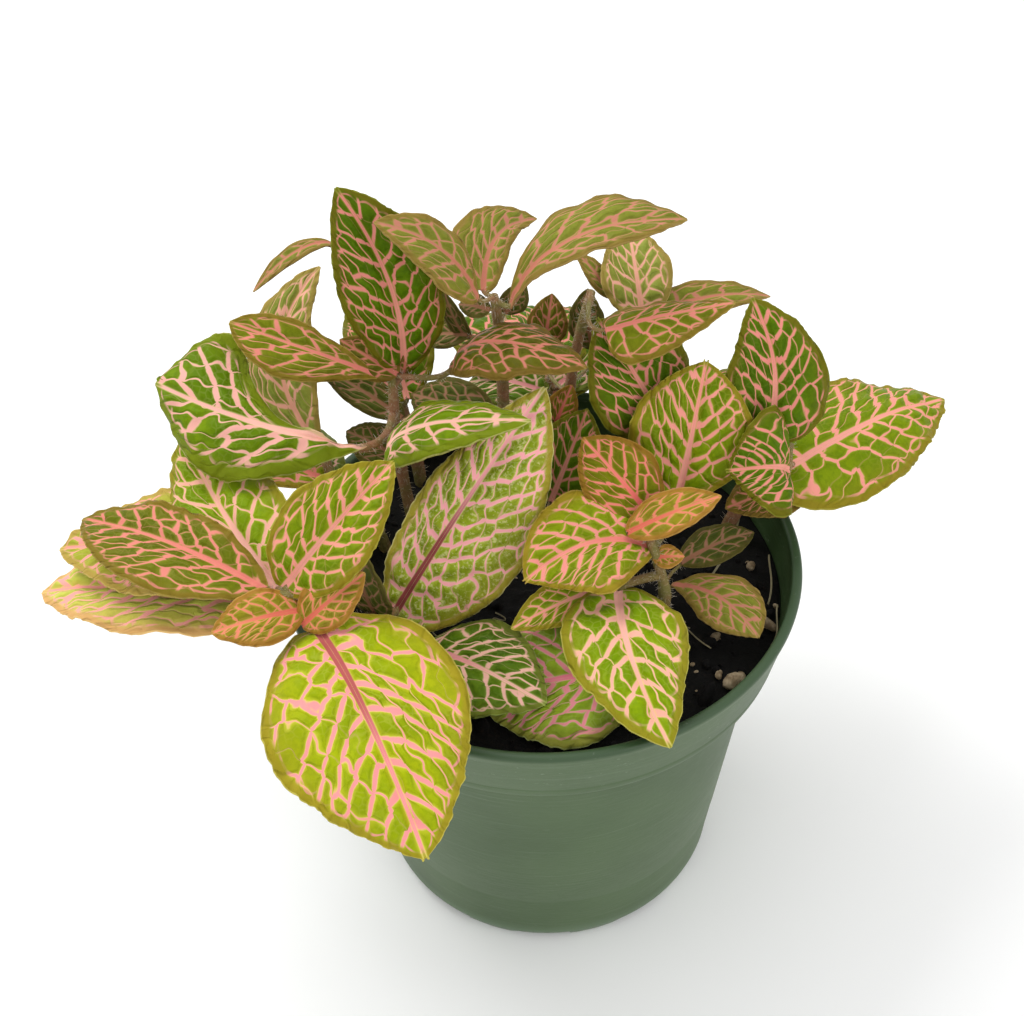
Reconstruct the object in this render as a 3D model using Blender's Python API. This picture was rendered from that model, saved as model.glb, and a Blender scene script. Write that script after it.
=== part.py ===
"""A pink-veined nerve plant (Fittonia) in a four-inch green nursery pot, as closed solids.

The pot, the soil and each leafy stem are one node apiece. Lengths in the tables are millimetres
from the middle of the pot's underside: X to the right, Y away from the front, Z up.
"""
import math

import bmesh
import bpy
import numpy as np

MM = 0.001

# pot: a thin moulded shell with a stepped collar and ten low feet
POT_SEGMENTS = 36
FLOOR_TOP = 1.6
FOOT_COUNT = 10
FOOT_FIRST = 5.6
FOOT_ARC = 16.6
NOTCH_HEIGHT = 2.2
NOTCH_DEPTH = 4.6
DRAIN_RADIUS = 4.0
DRAIN_RING = 19.0
POT_PROFILE = [
    (0.0, 0.0), (35.6, 0.0), (37.0, 0.9), (37.8, 2.8), (45.4, 67.2), (46.6, 68.6), (49.0, 69.4),
    (49.6, 70.4), (52.3, 83.6), (52.5, 84.5), (52.1, 85.0), (50.8, 85.0), (50.4, 84.4),
    (50.9, 83.4), (48.3, 71.2), (45.6, 69.6), (44.2, 67.6), (36.5, 2.8), (35.4, FLOOR_TOP),
    (0.0, FLOOR_TOP),
]

# soil: fills the pot to a finger below the lip, with a plain hole for each stem
GAP = 0.3
SOIL_LEVEL = 76.0
SOIL_SIDE = [(34.8, FLOOR_TOP + GAP), (36.1, 3.1), (43.7, 67.7), (45.1, 70.0), (47.9, 71.8),
             (48.6, 75.2)]
SOIL_RINGS = [44.0, 34.0, 23.0, 12.0]
SOIL_SEGMENTS = 26
HOLE_BOTTOM = 68.6

# stems and blades
STEM_RADIUS = 1.5
STEM_FOOT = 69.0
STEM_STRAIGHT = 78.0
BLADE = 0.7
SIDES_STEM = 6
SIDES_STALK = 4


def leaf(base, tip, face, width, arch=3.0, **shape):
    """One leaf: where its blade begins and ends, which way its upper side looks, and its shape."""
    row = dict(peak=0.5, fold=0.25, cup=0.25, twist=0.0, swerve=0.0, wide=0.42, skew=0.0,
               lean=0.0, lobe=0.06 * width)
    row.update(shape)
    row.update(base=base, tip=tip, face=face, width=width, arch=arch)
    return row


SHOOTS = {
    "shoot_front_left": {
        "stem": [(-22, -7), (-30, -8, 82), (-38, -24, 84), (-46, -29, 106)],
        "leaves": [
            leaf((-42, -34, 101), (-23, -72, 84), (-75, 48), 37, 7, peak=0.45, fold=0.05,
                 lobe=6, swerve=-1),
            leaf((-51, -20, 94), (-101, -7, 86), (-95, 88), 28, 4, fold=0.3, cup=0.2),
            leaf((-53, -13, 103), (-96, -4, 95), (-150, 75), 27, 6, peak=0.55, wide=0.38),
            leaf((-52, -28, 107), (-89, -6, 105), (-105, 80), 19, 4, fold=0.35, wide=0.45,
                 skew=-0.2),
            leaf((-50, -26, 105), (-72, 15, 107), (-100, 60), 23, 0.5, fold=0.2, swerve=-1),
            leaf((-48, -28, 107), (-27, -16, 126), (-100, 45), 19, 3, fold=0.4),
            leaf((-45, -31, 104), (-61, -36, 104), (-90, 60), 11, 2),
            leaf((-45, -33, 102), (-33, -28, 110), (-90, 50), 10, 2, fold=0.3),
            leaf((-33, -16, 84), (-36, -16, 108), (-120, 30), 11, 2),
            leaf((-30, -13, 83), (1, 6, 124), (-100, 42), 25, 4, fold=0.1, lobe=5, skew=0.3),
            leaf((-24, -19, 79), (-1, -42, 88), (-80, 65), 22, 3, fold=0.1),
            leaf((-30, -8, 80), (-33, -10, 83), (-90, 60), 3, 0.5),
        ],
    },
    "shoot_left": {
        "stem": [(-33, 12), (-42, 12, 90), (-45, 16, 103)],
        "leaves": [
            leaf((-46, 17, 103), (-43.5, 41, 129), (-120, 30), 16.5, 3, fold=0.3, swerve=-7),
            leaf((-45, 14, 95), (-76, 32, 88), (150, 75), 20, 4),
            leaf((-43, 16, 91), (-70, 48, 78), (130, 75), 20, 4),
        ],
    },
    "shoot_back_left": {
        "stem": [(-26, 13), (-30, 16, 95), (-29, 20, 117)],
        "leaves": [
            leaf((-27, 21, 116), (-36, 21, 160), (-80, 20), 20.5, 3, swerve=3.5, wide=0.5),
            leaf((-30, 19, 117), (-59, 18, 133), (-95, 65), 13, 2.5, fold=0.3, swerve=-1, wide=0.66,
                 skew=-0.22),
            leaf((-28, 19, 118), (-39, 23, 124), (-90, 40), 8.5, 1),
            leaf((-27, 21, 116), (-26, 21, 122), (-60, 40), 4, 0.5),
            leaf((-28, 22, 104), (-45, 32, 110), (-90, 60), 8, 2),
            leaf((-29, 18, 96), (-40, 23, 100), (-90, 60), 10, 2),
            leaf((-35, 6, 111), (-75, 15, 121), (-90, 65), 27, 6, fold=-0.1, cup=0.3, twist=-60,
                 swerve=-4, wide=0.6, skew=0.12, lean=0.22),
            leaf((-30, 7, 103), (-2, -6, 126), (-100, 75), 14, 9, fold=0.0, cup=0.3, peak=0.38),
            leaf((-17, 18, 120), (9, 4, 130), (-90, 84), 17, 7, peak=0.4, cup=0.3, fold=0.0),
        ],
    },
    "shoot_top": {
        "stem": [(-8, 12), (-6, 36, 108), (-8, 19, 136)],
        "leaves": [
            leaf((-11, 16, 138), (-29, 14, 157), (-60, 60), 12, 3, fold=0.3, swerve=2, skew=-0.2,
                 lean=0.12),
            leaf((-10, 20, 137), (1, 39, 140), (-90, 40), 12, 2, swerve=-4, wide=0.3, skew=-0.36),
            leaf((-5, 18, 134), (29, 25, 148), (-100, 84), 15, 9, peak=0.42, wide=0.58, skew=-0.2),
            leaf((-9, 19, 133), (-15, 21, 133), (-90, 50), 5, 1),
            leaf((-9, 25, 98), (-27, 38, 97), (-100, 60), 13, 3),
            leaf((-14, 31, 118), (-24, 36, 114), (-90, 60), 7, 1),
            leaf((-14, 32, 116), (-18, 32, 128), (-120, 20), 5, 1),
            leaf((-6, 27, 126), (-2, 28, 133), (-70, 30), 6, 1),
        ],
    },
    "shoot_front_right": {
        "stem": [(22, -12), (26, -18, 86), (20, -12, 101)],
        "leaves": [
            leaf((16, -29, 82), (-15, -33, 80), (-90, 70), 29, 2),
            leaf((21, -12, 98), (-4, -22, 100), (-95, 60), 21, 4, swerve=3, wide=0.5),
            leaf((21, -14, 97), (27, -14, 97), (-90, 60), 5, 0.5),
            leaf((22, -9, 101), (8, 0, 116), (-80, 45), 16, 2, fold=0.15, wide=0.5),
            leaf((16, -13, 103), (34, -9, 108), (-100, 60), 9, 2, fold=0.4),
            leaf((27, 1, 98), (32.5, 12, 124), (-90, 40), 25, 2, wide=0.5),
            leaf((14, -18, 92), (21, -53, 88), (-80, 60), 24, 4, fold=0.15, wide=0.36,
                 swerve=2.5, lobe=3),
            leaf((26, -8, 83), (41, -24, 84), (-90, 75), 13, 2, swerve=-2, wide=0.58),
            leaf((28, -4, 85), (44, 5, 84), (-90, 75), 9, 2),
            leaf((11, -16, 91), (-7, -25, 90), (-90, 70), 10, 2),
        ],
    },
    "shoot_middle": {
        "stem": [(6, 14), (4, 26, 105), (11, 25, 132)],
        "leaves": [
            leaf((2, 6, 94), (10, 18, 108), (-90, 45), 15, 2),
            leaf((3, 17, 104), (7, 21, 112), (-90, 40), 7, 1),
            leaf((2, 39, 108), (4, 44, 118), (-90, 30), 9, 1),
            leaf((12, 35, 110), (11, 37, 124), (-120, 30), 9, 1, fold=0.4),
            leaf((13, 13, 132), (38, 16, 135), (-95, 72), 13, 1, fold=-0.5, cup=0.1, wide=0.22,
                 skew=0.1),
        ],
    },
    "shoot_right": {
        "stem": [(39, 12), (45, 14, 90), (50, 8, 105)],
        "leaves": [
            leaf((45, 8, 107), (42, 21, 132), (-80, 35), 22.5, 3, swerve=2.2, wide=0.33),
            leaf((51, 9, 99), (89, 36, 92), (-85, 72), 30, 5, fold=-0.25, cup=0.1, wide=0.31,
                 lobe=7, skew=-0.1),
            leaf((49, 2, 104), (36, -2, 108), (-80, 50), 22, 5, skew=0.1),
            leaf((53, 9, 92), (37, 2, 94), (-90, 70), 12, 2),
        ],
    },
    "shoot_top_right": {
        "stem": [(26, 16), (27, 18, 100), (23, 32, 120)],
        "leaves": [
            leaf((25, 11, 108), (12, 20, 129), (-80, 45), 22, 3),
            leaf((22, 32, 120), (20, 49, 131), (-90, 35), 15, 2),
            leaf((16, 38, 121), (9, 43, 129), (-60, 45), 5, 1),
            leaf((25, 34, 120), (50, 43, 116), (-90, 70), 9, 3, wide=0.26),
        ],
    },
    "shoot_far_left": {
        "stem": [(-26, 32), (-30, 42, 100), (-38, 50, 124)],
        "leaves": [
            leaf((-42, 56, 124), (-59.5, 49, 117.5), (-90, 80), 5, 4, peak=0.38),
            leaf((-28, 38, 96), (-38, 72, 98), (100, 80), 20, 5),
        ],
    },
    "shoot_rear": {
        "stem": [(2, 36), (2, 38, 88), (3, 39, 100)],
        "leaves": [
            leaf((3, 40, 98), (2, 74, 92), (90, 80), 22, 5),
            leaf((5, 38, 98), (34, 62, 90), (60, 80), 22, 5),
            leaf((1, 38, 96), (-20, 70, 92), (120, 80), 18, 5),
            leaf((2, 36, 98), (-15, 46, 93), (-100, 70), 14, 3),
            leaf((3, 42, 90), (14, 72, 74), (80, 60), 20, 5),
        ],
    },
    "shoot_rear_right": {
        "stem": [(29, 29), (32, 32, 86), (36, 35, 92)],
        "leaves": [
            leaf((38, 36, 90), (66, 54, 80), (50, 75), 22, 4),
            leaf((37, 34, 91), (66, 24, 90), (-10, 80), 18, 4),
            leaf((36, 38, 86), (50, 66, 72), (70, 70), 20, 4),
        ],
    },
}


def unit(v):
    return v / np.linalg.norm(v)


def direction(azimuth, elevation):
    """The unit vector that looks along a compass angle and a height angle, in degrees."""
    a = math.radians(azimuth)
    e = math.radians(elevation)
    return np.array([math.cos(a) * math.cos(e), math.sin(a) * math.cos(e), math.sin(e)])


def midrib(row, s):
    """Point, forward, upward and sideways directions of a leaf's midrib at s from 0 to 1."""
    s = min(max(s, 0.004), 0.999)
    base = np.array(row["base"], float)
    chord = np.array(row["tip"], float) - base
    ahead = unit(chord)
    up = direction(*row["face"])
    up = unit(up - ahead * (up @ ahead))
    across = np.cross(ahead, up)
    k = math.log(0.5) / math.log(row["peak"])
    rise = 4.0 * s ** k * (1.0 - s ** k)
    slope = 4.0 * (1.0 - 2.0 * s ** k) * k * s ** (k - 1.0)
    bow = up * row["arch"] + across * row["swerve"]
    point = base + chord * s + bow * rise
    forward = unit(chord + bow * slope)
    normal = unit(up - forward * (up @ forward))
    side = np.cross(forward, normal)
    turn = math.radians(row["twist"]) * (s - 0.5)
    lifted = math.cos(turn) * normal + math.sin(turn) * side
    levelled = math.cos(turn) * side - math.sin(turn) * normal
    return point, forward, lifted, levelled


def half_width(row, s, y):
    """The width at s of the half where y is: round at the base, pointed at the tip."""
    s = min(max(s, 0.006), 0.994)
    right = y > 0.0
    a = math.log(0.5) / math.log(row["wide"] + (row["lean"] if right else 0.0))
    share = 1.0 + (row["skew"] if right else -row["skew"])
    return 0.5 * row["width"] * share * math.sin(math.pi * s ** a) ** 0.72


def blade_point(row, s, y):
    """A point of the blade's upper face, y from -1 to 1 across it."""
    point, forward, normal, side = midrib(row, s)
    w = half_width(row, s, y)
    a = abs(y)
    flat = math.sqrt(max(1.0 - (row["fold"] * 0.6) ** 2, 0.2))
    height = w * (row["fold"] * a - row["cup"] * a * a)
    wave = 0.03 * row["width"] * a ** 3 * math.sin(math.pi * s)
    height += wave * math.sin(19.0 * s + 2.0 * math.copysign(1.0, y) + row["width"])
    point = point + side * (w * y * flat) + normal * height
    return point - forward * (row["lobe"] * a * (1.0 - s) ** 4)


def add_mesh(name, verts, faces, collection):
    mesh = bpy.data.meshes.new(name)
    mesh.from_pydata([tuple(float(c) * MM for c in v) for v in verts], [], faces)
    shape = bmesh.new()
    shape.from_mesh(mesh)
    bmesh.ops.recalc_face_normals(shape, faces=shape.faces)
    shape.to_mesh(mesh)
    shape.free()
    body = bpy.data.objects.new(name, mesh)
    collection.objects.link(body)
    return body


def add_blade(name, row, collection):
    """A leaf blade: two alike faces a blade's thickness apart, joined round the margin."""
    rows, half = (6, 2) if row["width"] > 20 else (5, 2) if row["width"] > 12 else (4, 1)
    columns = 2 * half + 1
    top = np.zeros((rows + 1, columns, 3))
    for i in range(rows + 1):
        s = 0.5 - 0.5 * math.cos(math.pi * (0.06 + 0.94 * i / rows)) if i else 0.012
        for j in range(columns):
            top[i, j] = blade_point(row, s, j / half - 1.0)
    along = np.gradient(top, axis=0)
    across = np.gradient(top, axis=1)
    normal = np.cross(across, along)
    normal /= np.maximum(np.linalg.norm(normal, axis=2, keepdims=True), 1e-9)
    up = np.stack([midrib(row, i / rows)[2] for i in range(rows + 1)])[:, None, :]
    normal = np.where((normal * up).sum(axis=2, keepdims=True) < 0.0, -normal, normal)
    normal[0] = up[0]
    normal[-1] = up[-1]
    low = top - normal * BLADE
    verts = list(top.reshape(-1, 3)) + list(low.reshape(-1, 3))
    count = (rows + 1) * columns
    faces = []
    for i in range(rows):
        for j in range(columns - 1):
            a = i * columns + j
            b, c, d = a + 1, a + columns + 1, a + columns
            split = [(a, b, c), (a, c, d)] if (i + j) % 2 else [(a, b, d), (b, c, d)]
            faces += split
            faces += [tuple(v + count for v in reversed(tri)) for tri in split]
    ring = [i * columns for i in range(rows + 1)]
    ring += [rows * columns + j for j in range(1, columns)]
    ring += [i * columns + columns - 1 for i in range(rows - 1, -1, -1)]
    ring += [j for j in range(columns - 2, 0, -1)]
    for a, b in zip(ring, ring[1:] + ring[:1]):
        faces += [(a, b, b + count), (a, b + count, a + count)]
    return add_mesh(name, verts, faces, collection)


def add_tube(name, path, radii, sides, collection):
    """A closed round tube along a path of points."""
    path = [np.array(p, float) for p in path]
    verts = []
    lean = np.array([1.0, 0.0, 0.0])
    for i, here in enumerate(path):
        before = path[max(i - 1, 0)]
        after = path[min(i + 1, len(path) - 1)]
        ahead = unit(after - before)
        lean = lean - ahead * (lean @ ahead)
        if np.linalg.norm(lean) < 0.05:
            lean = np.cross(ahead, np.array([0.0, 1.0, 0.0]))
        lean = unit(lean)
        wide = np.cross(ahead, lean)
        for k in range(sides):
            a = 2.0 * math.pi * k / sides
            verts.append(here + radii[i] * (math.cos(a) * lean + math.sin(a) * wide))
    faces = [tuple(range(sides))]
    faces.append(tuple((len(path) - 1) * sides + k for k in reversed(range(sides))))
    for i in range(len(path) - 1):
        for k in range(sides):
            a = i * sides + k
            b = i * sides + (k + 1) % sides
            faces.append((a, a + sides, b + sides, b))
    return add_mesh(name, verts, faces, collection)


def bezier(points, t):
    """The point of a Bezier curve through its first and last control points."""
    points = [np.array(p, float) for p in points]
    while len(points) > 1:
        points = [a * (1.0 - t) + b * t for a, b in zip(points, points[1:])]
    return points[0]


def stem_curve(shoot):
    x, y = shoot["stem"][0]
    return [(x, y, STEM_STRAIGHT)] + shoot["stem"][1:]


def add_stalk(name, row, curve, collection):
    """The leaf's stalk: from inside the stem into the underside of the blade."""
    base, forward, normal, side = midrib(row, 0.01)
    base = base - normal * (BLADE * 0.45) + side * 0.06
    tries = [bezier(curve, k / 40) for k in range(41)]
    root = min(tries, key=lambda p: np.linalg.norm(p - base + forward * 2.0))
    reach = np.linalg.norm(base - root)
    bend = base - forward * reach * 0.5
    steps = 3 if reach > 6.0 else 1
    path = [bezier([root, bend, base], k / steps) for k in range(steps + 1)]
    thick = min(max(row["width"] * 0.045, 0.45), 1.1)
    radii = [thick * (1.0 - 0.2 * k / steps) for k in range(steps + 1)]
    point, _, normal, side = midrib(row, 0.25)
    path.append(point - normal * (BLADE * 0.8) - side * 0.04)
    radii.append(thick * 0.5)
    return add_tube(name, path, radii, SIDES_STALK, collection)


def finish(body, name, material):
    body.name = name
    body.data.name = name
    body.data.materials.clear()
    body.data.materials.append(material)
    for face in body.data.polygons:
        face.material_index = 0
        face.use_smooth = True
    return body


def union(collection, name):
    """All of a collection's solids fused into one object, which takes their place."""
    first = collection.objects[0]
    host = bpy.data.objects.new(name, first.data)
    bpy.context.scene.collection.objects.link(host)
    bpy.data.objects.remove(first)
    fuse = host.modifiers.new("fuse", "BOOLEAN")
    fuse.operation = "UNION"
    fuse.operand_type = "COLLECTION"
    fuse.collection = collection
    fuse.solver = "EXACT"
    fuse.use_self = True
    apply_modifiers(host)
    for spare in list(collection.objects):
        bpy.data.objects.remove(spare)
    bpy.data.collections.remove(collection)
    return host


def subtract(host, cutter):
    cut = host.modifiers.new("cut", "BOOLEAN")
    cut.operation = "DIFFERENCE"
    cut.object = cutter
    cut.solver = "EXACT"
    apply_modifiers(host)
    bpy.data.objects.remove(cutter)


def apply_modifiers(host):
    graph = bpy.context.evaluated_depsgraph_get()
    made = bpy.data.meshes.new_from_object(host.evaluated_get(graph))
    host.modifiers.clear()
    host.data = made


def turn_diagonal(shape, edge):
    """Where two flat faces were split along one line, split one of them the other way."""
    a, b = edge.verts
    for one in edge.link_faces:
        for two in edge.link_faces:
            if one is two or one.normal.dot(two.normal) < 0.999:
                continue
            c = next(v for v in one.verts if v not in (a, b))
            d = next(v for v in two.verts if v not in (a, b))
            sides = [(b.co - a.co).cross(v.co - a.co).dot(one.normal) for v in (c, d)]
            ends = [(d.co - c.co).cross(v.co - c.co).dot(one.normal) for v in (a, b)]
            if sides[0] * sides[1] < 0.0 and ends[0] * ends[1] < 0.0:
                bmesh.ops.delete(shape, geom=[one, two], context="FACES_ONLY")
                shape.faces.new((a, d, c))
                shape.faces.new((d, b, c))
                return


def tidy(host):
    """Split a union's faces into triangles and drop its loose scraps."""
    shape = bmesh.new()
    shape.from_mesh(host.data)
    bmesh.ops.triangulate(shape, faces=[f for f in shape.faces if len(f.verts) > 3])
    for edge in [e for e in shape.edges if len(e.link_faces) > 2]:
        turn_diagonal(shape, edge)
    left = set(shape.verts)
    islands = []
    while left:
        stack = [left.pop()]
        island = set(stack)
        while stack:
            for edge in stack.pop().link_edges:
                for vert in edge.verts:
                    if vert in left:
                        left.discard(vert)
                        island.add(vert)
                        stack.append(vert)
        islands.append(island)
    keep = max(islands, key=len)
    scraps = [v for island in islands if island is not keep for v in island]
    bmesh.ops.delete(shape, geom=scraps, context="VERTS")
    bmesh.ops.recalc_face_normals(shape, faces=shape.faces)
    shape.to_mesh(host.data)
    shape.free()


def make_material(name, color, roughness):
    material = bpy.data.materials.new(name)
    material.use_nodes = True
    shader = material.node_tree.nodes["Principled BSDF"]
    shader.inputs["Base Color"].default_value = (*color, 1.0)
    shader.inputs["Roughness"].default_value = roughness
    material.diffuse_color = (*color, 1.0)
    return material


def revolve(name, profile, segments, collection):
    """A closed solid turned from a profile that starts and ends on the axis."""
    verts = []
    rings = []
    for r, z in profile:
        if r == 0.0:
            rings.append([len(verts)] * segments)
            verts.append((0.0, 0.0, z))
            continue
        rings.append(list(range(len(verts), len(verts) + segments)))
        for k in range(segments):
            a = 2.0 * math.pi * k / segments
            verts.append((r * math.cos(a), r * math.sin(a), z))
    faces = []
    for low, high in zip(rings, rings[1:]):
        for k in range(segments):
            n = (k + 1) % segments
            corners = [low[k], low[n], high[n], high[k]]
            faces.append(tuple(dict.fromkeys(corners)))
    return add_mesh(name, verts, faces, collection)


def add_box(name, length, width, height, angle, middle, collection):
    """A box that lies along a compass angle, its middle a given distance from the axis."""
    verts = []
    for dz in (-0.5, 0.5):
        for dr, dt in ((-0.5, -0.5), (0.5, -0.5), (0.5, 0.5), (-0.5, 0.5)):
            r = middle + dr * length
            t = dt * width
            x = r * math.cos(angle) - t * math.sin(angle)
            y = r * math.sin(angle) + t * math.cos(angle)
            verts.append((x, y, dz * height))
    faces = [(3, 2, 1, 0), (4, 5, 6, 7), (0, 1, 5, 4), (1, 2, 6, 5), (2, 3, 7, 6), (3, 0, 4, 7)]
    return add_mesh(name, verts, faces, collection)


def new_collection(name):
    collection = bpy.data.collections.new(name)
    bpy.context.scene.collection.children.link(collection)
    return collection


def build_pot():
    scene = bpy.context.scene.collection
    pot = revolve("pot", POT_PROFILE, POT_SEGMENTS, scene)
    cutters = new_collection("pot_cutters")
    pitch = 360.0 / FOOT_COUNT
    notch = math.radians(pitch - FOOT_ARC)
    for k in range(FOOT_COUNT):
        angle = math.radians(-90.0 + FOOT_FIRST - 0.5 * (pitch - FOOT_ARC) + k * pitch)
        add_box("notch", NOTCH_DEPTH + 4.0, 2.0 * 37.0 * math.sin(notch / 2.0),
                2.0 * NOTCH_HEIGHT, angle, 37.4 - NOTCH_DEPTH / 2.0 + 2.0, cutters)
    for k in range(5):
        a = 2.0 * math.pi * (k + 0.25) / 5
        x = DRAIN_RING * math.cos(a)
        y = DRAIN_RING * math.sin(a)
        add_tube("drain", [(x, y, -2.0), (x, y, 4.0)], [DRAIN_RADIUS] * 2, 14, cutters)
    cutter = union(cutters, "pot_cutter")
    subtract(pot, cutter)
    return finish(pot, "pot", make_material("green_plastic", (0.085, 0.155, 0.080), 0.42))


def build_soil():
    scene = bpy.context.scene.collection
    rng = np.random.default_rng(7)
    profile = [(0.0, FLOOR_TOP + GAP)] + SOIL_SIDE
    profile += [(r, SOIL_LEVEL) for r in SOIL_RINGS] + [(0.0, SOIL_LEVEL)]
    soil = revolve("soil", profile, SOIL_SEGMENTS, scene)
    for vert in soil.data.vertices:
        if vert.co.z > 75.6 * MM:
            vert.co.z += float(rng.uniform(-0.9, 0.7)) * MM
    cutters = new_collection("soil_cutters")
    for name, shoot in SHOOTS.items():
        x, y = shoot["stem"][0]
        add_tube("hole_" + name, [(x, y, HOLE_BOTTOM), (x, y, 80.0)],
                 [STEM_RADIUS + GAP] * 2, SIDES_STEM, cutters)
    cutter = union(cutters, "soil_cutter")
    subtract(soil, cutter)
    return finish(soil, "soil", make_material("potting_soil", (0.018, 0.014, 0.011), 0.95))


def build_shoot(name, shoot, material):
    collection = new_collection(name + "_pieces")
    curve = stem_curve(shoot)
    path = [(*shoot["stem"][0], STEM_FOOT)] + [bezier(curve, k / 5) for k in range(6)]
    radii = [STEM_RADIUS] * 2 + [STEM_RADIUS * (1.0 - 0.07 * k) for k in range(1, 6)]
    add_tube("stem", path, radii, SIDES_STEM, collection)
    for number, row in enumerate(shoot["leaves"]):
        add_blade("blade_%d" % number, row, collection)
        add_stalk("stalk_%d" % number, row, curve, collection)
    body = union(collection, name)
    tidy(body)
    return finish(body, name, material)


def main():
    for old in list(bpy.data.objects):
        bpy.data.objects.remove(old)
    build_pot()
    build_soil()
    for name, shoot in SHOOTS.items():
        material = make_material("leaf_" + name[6:], (0.16, 0.28, 0.035), 0.5)
        build_shoot(name, shoot, material)


main()
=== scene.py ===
"""A pink-veined nerve plant in a four-inch green nursery pot, finished piece by piece.

Lengths in the tables are millimetres from the middle of the pot's underside: X to the right,
Y away from the front, Z up. Every mesh is in metres.
"""
import math

import bmesh
import bpy
import numpy as np
from mathutils import Matrix, Vector, noise


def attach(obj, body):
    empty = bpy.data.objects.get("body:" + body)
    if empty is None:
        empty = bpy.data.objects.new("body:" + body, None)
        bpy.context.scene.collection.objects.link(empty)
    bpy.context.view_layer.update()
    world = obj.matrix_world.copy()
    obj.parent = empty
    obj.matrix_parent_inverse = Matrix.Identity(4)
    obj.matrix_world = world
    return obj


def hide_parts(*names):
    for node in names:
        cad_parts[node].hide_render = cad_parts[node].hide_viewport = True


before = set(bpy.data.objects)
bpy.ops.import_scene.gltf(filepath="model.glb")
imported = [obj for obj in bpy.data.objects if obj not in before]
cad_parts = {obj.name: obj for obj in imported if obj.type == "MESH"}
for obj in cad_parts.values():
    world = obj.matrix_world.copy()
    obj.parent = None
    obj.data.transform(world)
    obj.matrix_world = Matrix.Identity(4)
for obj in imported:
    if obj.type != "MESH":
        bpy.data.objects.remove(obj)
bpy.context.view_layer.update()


# ----------------------------------------------------------
# Pot: a thin injection-moulded shell of recycled green polypropylene. It has a rolled lip, a
# stepped collar that makes pots nest without jamming, and ten low feet parted by drainage notches.

MM = 0.001
POT_TURNS = 240
FLOOR_TOP = 1.6
FOOT_COUNT = 10
FOOT_FIRST = 5.6
FOOT_ARC = 16.6
FOOT_INNER = 33.4
NOTCH_HEIGHT = 2.2
NOTCH_SLOPE = 1.2
DRAIN_HOLES = 5
DRAIN_RING = 19.0
DRAIN_RADIUS = 4.0
POT_OUTSIDE = [
    (33.2, 0.0), (33.5, 0.0), (35.6, 0.0), (36.4, 0.25), (37.0, 0.9), (37.4, 1.8), (37.75, 2.6),
    (38.05, 3.6), (38.15, 4.6), (38.2, 5.6), (39.6, 17.6), (39.62, 17.9), (39.72, 18.2), (42.6, 43.0),
    (45.2, 65.4), (45.5, 67.0), (46.0, 68.1), (46.9, 68.8), (48.4, 69.1), (49.1, 69.4), (49.5, 70.0),
    (49.7, 70.8), (49.9, 71.9), (49.85, 72.1), (50.0, 72.4), (52.0, 82.2), (52.3, 83.2), (52.55, 83.7),
    (52.6, 84.3), (52.4, 84.8), (52.0, 85.0), (51.2, 85.0), (50.7, 84.8), (50.45, 84.3), (50.5, 83.7),
    (50.7, 83.0),
]
POT_INSIDE = [
    (48.3, 71.2), (47.9, 70.6), (46.3, 70.1), (45.3, 69.3), (44.5, 68.0), (44.1, 66.0), (36.9, 4.0),
    (36.4, 2.4), (35.4, FLOOR_TOP), (12.0, FLOOR_TOP),
]


def spun(name, profile, turns):
    """A closed body turned round the Z axis from a profile in millimetres, both ends on the axis."""
    shape = bmesh.new()
    line = [shape.verts.new((r * MM, 0.0, z * MM)) for r, z in profile]
    edges = [shape.edges.new(pair) for pair in zip(line, line[1:])]
    bmesh.ops.spin(shape, geom=line + edges, cent=(0, 0, 0), axis=(0, 0, 1), angle=math.tau,
                   steps=turns, use_merge=True)
    bmesh.ops.remove_doubles(shape, verts=shape.verts, dist=1e-6)
    bmesh.ops.dissolve_degenerate(shape, edges=shape.edges, dist=1e-7)
    bmesh.ops.recalc_face_normals(shape, faces=shape.faces)
    put_in_order(shape)
    return piece_from(name, shape)


def corners_of(item):
    """Where the corners of a vertex, an edge or a face are, from the lowest X up."""
    return sorted(tuple(vert.co) for vert in getattr(item, "verts", [item]))


def put_in_order(shape):
    """Lists the elements by place, since merging leaves them in an order that changes each run."""
    for kind in (shape.verts, shape.edges, shape.faces):
        for index, item in enumerate(sorted(kind, key=corners_of)):
            item.index = index
        kind.sort()


def mesh_of(name, shape):
    """The bmesh as a mesh, with the bmesh freed."""
    mesh = bpy.data.meshes.new(name)
    shape.to_mesh(mesh)
    shape.free()
    return mesh


def placed(name, data):
    """A new object in the scene."""
    holder = bpy.data.objects.new(name, data)
    bpy.context.scene.collection.objects.link(holder)
    return holder


def piece_from(name, shape):
    """The bmesh as a smooth-shaded object that moves with the part."""
    mesh = mesh_of(name, shape)
    mesh.shade_smooth()
    piece = placed(name, mesh)
    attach(piece, "root")
    return piece


def notch_amount(angle):
    """1 in the middle of a drainage notch, 0 on a foot, with a short slope between."""
    pitch = 360.0 / FOOT_COUNT
    place = (math.degrees(angle) + 90.0 - FOOT_FIRST) % pitch
    away = abs(place - FOOT_ARC - 0.5 * (pitch - FOOT_ARC))
    away = min(away, abs(away - pitch))
    return min(max((0.5 * (pitch - FOOT_ARC) - away) / NOTCH_SLOPE + 0.5, 0.0), 1.0)


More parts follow.
